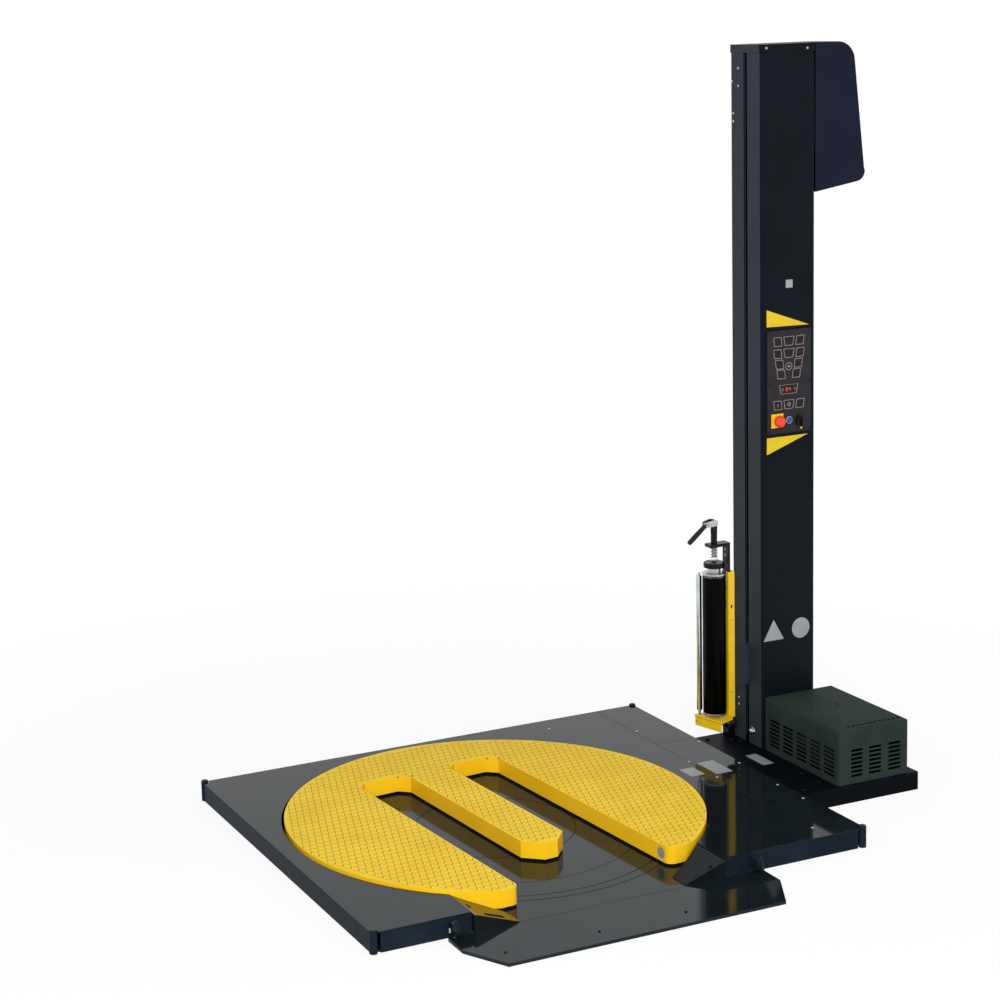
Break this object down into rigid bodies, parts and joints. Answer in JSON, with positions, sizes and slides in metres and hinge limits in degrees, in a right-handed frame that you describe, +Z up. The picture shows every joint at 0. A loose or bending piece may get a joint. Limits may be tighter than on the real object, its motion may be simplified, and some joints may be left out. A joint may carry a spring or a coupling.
{
  "type": "turntable pallet wrapper",
  "caption": "Semi-automatic pallet stretch wrapper: low fork-slotted turntable in a floor frame, folding ramp, and a column with a lifting film carriage.",
  "frame": {"origin": "turntable axis where it meets the floor", "axes": "+Z up along the turntable axis, +X towards the column, -Y towards the pallet trucks' entry ramp"},
  "size_m": [2.4965, 1.8365, 2.735],
  "materials": {
    "frame_grey": "dark grey gloss paint on steel sheet",
    "rail_grey": "blue-grey paint on folded steel",
    "table_yellow": "yellow powder coat on steel",
    "mast_grey": "near-black powder coat on steel",
    "vent_grey": "dark grey powder coat on steel",
    "panel_black": "black satin paint",
    "zinc": "zinc-plated steel",
    "steel": "machined steel",
    "black_plastic": "black polyamide",
    "rubber": "black rubber",
    "film_black": "rolled black stretch film",
    "motor_grey": "grey enamelled cast housing",
    "signal_red": "red plastic",
    "signal_yellow": "signal yellow",
    "button_blue": "blue plastic lens"
  },
  "bodies": {
    "root": {"base_plate": "frame_grey", "centre_spindle": "steel", "column_foot": "frame_grey", "control_panel": "panel_black", "corner_post_back_left": "rail_grey", "corner_post_back_right": "rail_grey", "corner_post_front_left": "rail_grey", "corner_post_front_right": "rail_grey", "deck_panel_front": "frame_grey", "deck_panel_rear": "frame_grey", "deck_plate": "frame_grey", "drive_belt_front": "rubber", "drive_belt_rear": "rubber", "drive_cover": "frame_grey", "drive_gearmotor": "motor_grey", "estop_collar": "signal_yellow", "guide_wedge_left": "rail_grey", "guide_wedge_right": "rail_grey", "hinge_lug_left": "rail_grey", "hinge_lug_right": "rail_grey", "lift_belt": "rubber", "lift_gearmotor": "motor_grey", "mast": "mast_grey", "motor_hood": "mast_grey", "rail_back": "rail_grey", "rail_front_left": "rail_grey", "rail_front_right": "rail_grey", "rail_left": "rail_grey", "rail_right": "rail_grey", "tilt_bracket": "panel_black", "top_cap": "mast_grey", "vented_cover": "vent_grey"},
    "ramp": {"entry_ramp": "rail_grey"},
    "table": {"turntable_deck": "table_yellow", "turntable_hub": "steel"},
    "roller_1": {"support_roller_1": "rubber"},
    "roller_2": {"support_roller_2": "rubber"},
    "roller_3": {"support_roller_3": "rubber"},
    "roller_4": {"support_roller_4": "rubber"},
    "roller_5": {"support_roller_5": "rubber"},
    "drive_wheel_front": {"drive_wheel_front": "rubber"},
    "drive_wheel_rear": {"drive_wheel_rear": "rubber"},
    "motor_pulley": {"motor_pulley": "steel"},
    "carriage": {"carriage_plate": "steel", "guard_bar": "signal_yellow", "reel_bracket": "signal_yellow", "top_bracket": "panel_black", "brake_spring": "zinc"},
    "lift_pulley": {"lift_pulley": "steel"},
    "lift_idler": {"lift_idler": "steel"},
    "guide_roller_lower": {"guide_roller_lower": "black_plastic"},
    "guide_roller_upper": {"guide_roller_upper": "black_plastic"},
    "film_reel": {"reel_spindle": "zinc", "film_roll": "film_black"},
    "idle_roller": {"idle_roller": "zinc"},
    "brake_lever": {"brake_lever": "zinc"},
    "brake_disc": {"brake_disc": "zinc"},
    "estop_button": {"estop_button": "signal_red"},
    "reset_button": {"reset_button": "button_blue"},
    "main_switch": {"main_switch": "black_plastic"}
  },
  "joints": [
    {"name": "ramp_fold", "type": "hinge", "parent": "root", "child": "ramp", "pos_m": [0, -0.785, 0.04], "axis": [-1, 0, 0], "range_deg": [0, 90]},
    {"name": "table_spin", "type": "hinge", "parent": "root", "child": "table", "pos_m": [0, 0, 0], "axis": [0, 0, 1], "continuous": true},
    {"name": "roller_1_spin", "type": "hinge", "parent": "table", "child": "roller_1", "pos_m": [0.27999, 0.58439, 0.0383], "axis": [0.4321, 0.9018, 0], "continuous": true},
    {"name": "roller_2_spin", "type": "hinge", "parent": "table", "child": "roller_2", "pos_m": [-0.3661, 0.53467, 0.0383], "axis": [-0.565, 0.8251, 0], "continuous": true},
    {"name": "roller_3_spin", "type": "hinge", "parent": "table", "child": "roller_3", "pos_m": [-0.32986, -0.55776, 0.0383], "axis": [-0.509, -0.8607, 0], "continuous": true},
    {"name": "roller_4_spin", "type": "hinge", "parent": "table", "child": "roller_4", "pos_m": [0.4113, -0.50073, 0.0383], "axis": [0.6347, -0.7727, 0], "continuous": true},
    {"name": "roller_5_spin", "type": "hinge", "parent": "table", "child": "roller_5", "pos_m": [0.02225, -0.28914, 0.0383], "axis": [0.0767, -0.9971, 0], "continuous": true},
    {"name": "drive_wheel_front_spin", "type": "hinge", "parent": "root", "child": "drive_wheel_front", "pos_m": [0.62277, -0.48656, 0.03], "axis": [0, 0, 1], "continuous": true},
    {"name": "drive_wheel_rear_spin", "type": "hinge", "parent": "root", "child": "drive_wheel_rear", "pos_m": [0.62277, 0.48656, 0.03], "axis": [0, 0, 1], "continuous": true},
    {"name": "motor_pulley_spin", "type": "hinge", "parent": "root", "child": "motor_pulley", "pos_m": [1.33, -0.14, 0.04], "axis": [0, 0, 1], "continuous": true},
    {"name": "carriage_lift", "type": "slide", "parent": "root", "child": "carriage", "axis": [0, 0, 1], "range_m": [0, 1.88]},
    {"name": "lift_pulley_spin", "type": "hinge", "parent": "root", "child": "lift_pulley", "pos_m": [1.36, 0.2, 2.6], "axis": [1, 0, 0], "continuous": true},
    {"name": "lift_idler_spin", "type": "hinge", "parent": "root", "child": "lift_idler", "pos_m": [1.36, 0.2, 0.16], "axis": [1, 0, 0], "continuous": true},
    {"name": "guide_roller_lower_spin", "type": "hinge", "parent": "carriage", "child": "guide_roller_lower", "pos_m": [1.243, 0.2817, 0.24], "axis": [1, 0, 0], "continuous": true},
    {"name": "guide_roller_upper_spin", "type": "hinge", "parent": "carriage", "child": "guide_roller_upper", "pos_m": [1.243, 0.2817, 0.52], "axis": [1, 0, 0], "continuous": true},
    {"name": "film_spin", "type": "hinge", "parent": "carriage", "child": "film_reel", "pos_m": [1.058, 0.2, 0.214], "axis": [0, 0, 1], "continuous": true},
    {"name": "idle_roller_spin", "type": "hinge", "parent": "carriage", "child": "idle_roller", "pos_m": [1.01924, 0.24619, 0.214], "axis": [0, 0, 1], "continuous": true},
    {"name": "brake_lever_swing", "type": "hinge", "parent": "carriage", "child": "brake_lever", "pos_m": [1.058, 0.2, 0.955], "axis": [0, 1, 0], "range_deg": [0, 60]},
    {"name": "brake_release", "type": "slide", "parent": "carriage", "child": "brake_disc", "axis": [0, 0, 1], "range_m": [0, 0.012], "stiffness_N_per_m": 400, "springref_m": -0.01, "deforming": ["brake_spring"]},
    {"name": "estop_press", "type": "slide", "parent": "root", "child": "estop_button", "axis": [0, 1, 0], "range_m": [0, 0.004]},
    {"name": "reset_press", "type": "slide", "parent": "root", "child": "reset_button", "axis": [0, 1, 0], "range_m": [0, 0.003], "stiffness_N_per_m": 300, "springref_m": -0.002},
    {"name": "main_switch_turn", "type": "hinge", "parent": "root", "child": "main_switch", "pos_m": [1.3745, 0.0937, 1.33], "axis": [0, -1, 0], "range_deg": [-90, 0]}
  ],
  "couplings": [
    {"joint": "roller_1_spin", "follows": "table_spin", "ratio": -24.923},
    {"joint": "roller_2_spin", "follows": "table_spin", "ratio": -24.923},
    {"joint": "roller_3_spin", "follows": "table_spin", "ratio": -24.923},
    {"joint": "roller_4_spin", "follows": "table_spin", "ratio": -24.923},
    {"joint": "roller_5_spin", "follows": "table_spin", "ratio": -11.154},
    {"joint": "drive_wheel_front_spin", "follows": "table_spin", "ratio": -18.75},
    {"joint": "drive_wheel_rear_spin", "follows": "table_spin", "ratio": -18.75},
    {"joint": "motor_pulley_spin", "follows": "table_spin", "ratio": -18.75},
    {"joint": "lift_pulley_spin", "follows": "carriage_lift", "rad_per_m": 28.571},
    {"joint": "lift_idler_spin", "follows": "carriage_lift", "rad_per_m": 28.571},
    {"joint": "guide_roller_lower_spin", "follows": "carriage_lift", "rad_per_m": -71.429},
    {"joint": "guide_roller_upper_spin", "follows": "carriage_lift", "rad_per_m": -71.429},
    {"joint": "brake_lever_swing", "follows": "brake_release", "rad_per_m": 87.266}
  ]
}
